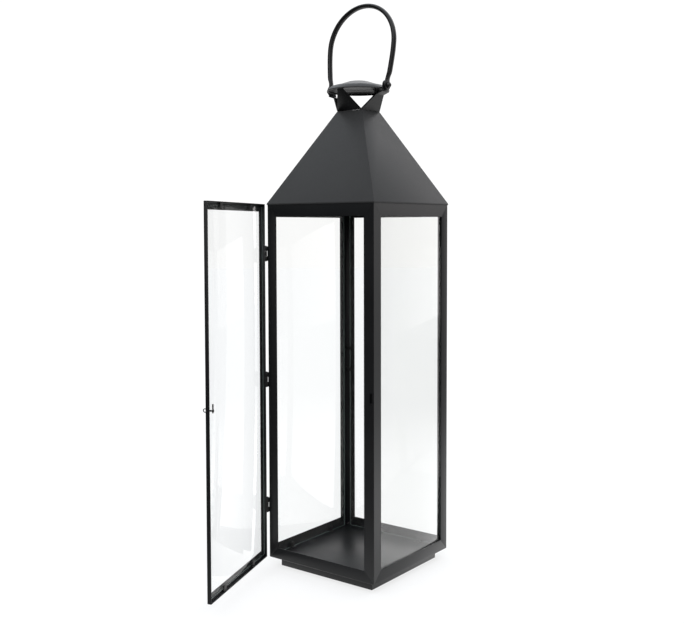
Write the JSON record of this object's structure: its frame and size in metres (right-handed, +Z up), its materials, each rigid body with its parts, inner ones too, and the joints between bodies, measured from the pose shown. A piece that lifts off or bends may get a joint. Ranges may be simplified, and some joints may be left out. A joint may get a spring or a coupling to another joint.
{
  "type": "hurricane candle lantern",
  "caption": "Tall square glazed floor lantern in black sheet steel with a pyramid roof, open collar, round vent cap, full-height hinged door and a swinging bail handle.",
  "frame": {"origin": "centre of the underside of the plinth, where the lantern stands", "axes": "+Z up along the height; the door is on the -Y side and is hinged at its left (-X) edge; the handle swings about X"},
  "size_m": [0.2603, 0.4929, 1.0896],
  "materials": {
    "frame": "satin black powder coat on folded steel",
    "roof": "fine-textured matte black powder coat",
    "cap": "satin black powder coat on spun and folded steel",
    "handle": "satin black paint on a forged bar",
    "hardware": "semi-gloss black",
    "glass": "clear float glass"
  },
  "bodies": {
    "lantern": {"plinth": "frame", "floor_plate": "frame", "post_front_right": "frame", "post_back_right": "frame", "post_back_left": "frame", "post_front_left": "frame", "bottom_rail_front": "frame", "bottom_rail_right": "frame", "bottom_rail_back": "frame", "bottom_rail_left": "frame", "top_rail_front": "frame", "top_rail_right": "frame", "top_rail_back": "frame", "top_rail_left": "frame", "roof_panel_front": "roof", "roof_panel_right": "roof", "roof_panel_back": "roof", "roof_panel_left": "roof", "collar_plate_front": "cap", "collar_plate_back": "cap", "collar_ear_right": "cap", "collar_ear_left": "cap", "vent_cap": "cap", "handle_bolt_right": "hardware", "handle_bolt_left": "hardware", "glass_right": "glass", "glass_back": "glass", "glass_left": "glass", "glass_clip_right_low_a": "hardware", "glass_clip_right_low_b": "hardware", "glass_clip_right_top": "hardware", "glass_clip_back_low_a": "hardware", "glass_clip_back_low_b": "hardware", "glass_clip_back_top": "hardware", "glass_clip_back_side_low": "hardware", "glass_clip_back_side_high": "hardware", "glass_clip_left_low_a": "hardware", "glass_clip_left_low_b": "hardware", "glass_clip_left_top": "hardware", "hinge_leaf_body_low": "hardware", "hinge_leaf_body_mid": "hardware", "hinge_leaf_body_high": "hardware", "hinge_pin_low": "hardware", "hinge_pin_mid": "hardware", "hinge_pin_high": "hardware"},
    "door": {"door_stile_hinge": "frame", "door_stile_latch": "frame", "door_rail_bottom": "frame", "door_rail_top": "frame", "door_glass": "glass", "door_clip_low_a": "hardware", "door_clip_low_b": "hardware", "door_clip_top_a": "hardware", "door_clip_top_b": "hardware", "hinge_leaf_door_low": "hardware", "hinge_leaf_door_mid": "hardware", "hinge_leaf_door_high": "hardware"},
    "latch": {"latch_spindle": "hardware", "latch_lever": "hardware"},
    "handle": {"bail_handle": "handle"}
  },
  "joints": [
    {"name": "door_swing", "type": "hinge", "parent": "lantern", "child": "door", "pos_m": [-0.1282, -0.1259, 0.361], "axis": [0, 0, 1], "range_deg": [-109.6, 70.4]},
    {"name": "latch_turn", "type": "hinge", "parent": "door", "child": "latch", "pos_m": [-0.04544, -0.3583, 0.35], "axis": [-0.9421, -0.3355, 0], "range_deg": [0, 90]},
    {"name": "handle_swing", "type": "hinge", "parent": "lantern", "child": "handle", "pos_m": [0, 0, 0.926], "axis": [1, 0, 0], "range_deg": [-138, 152]}
  ]
}
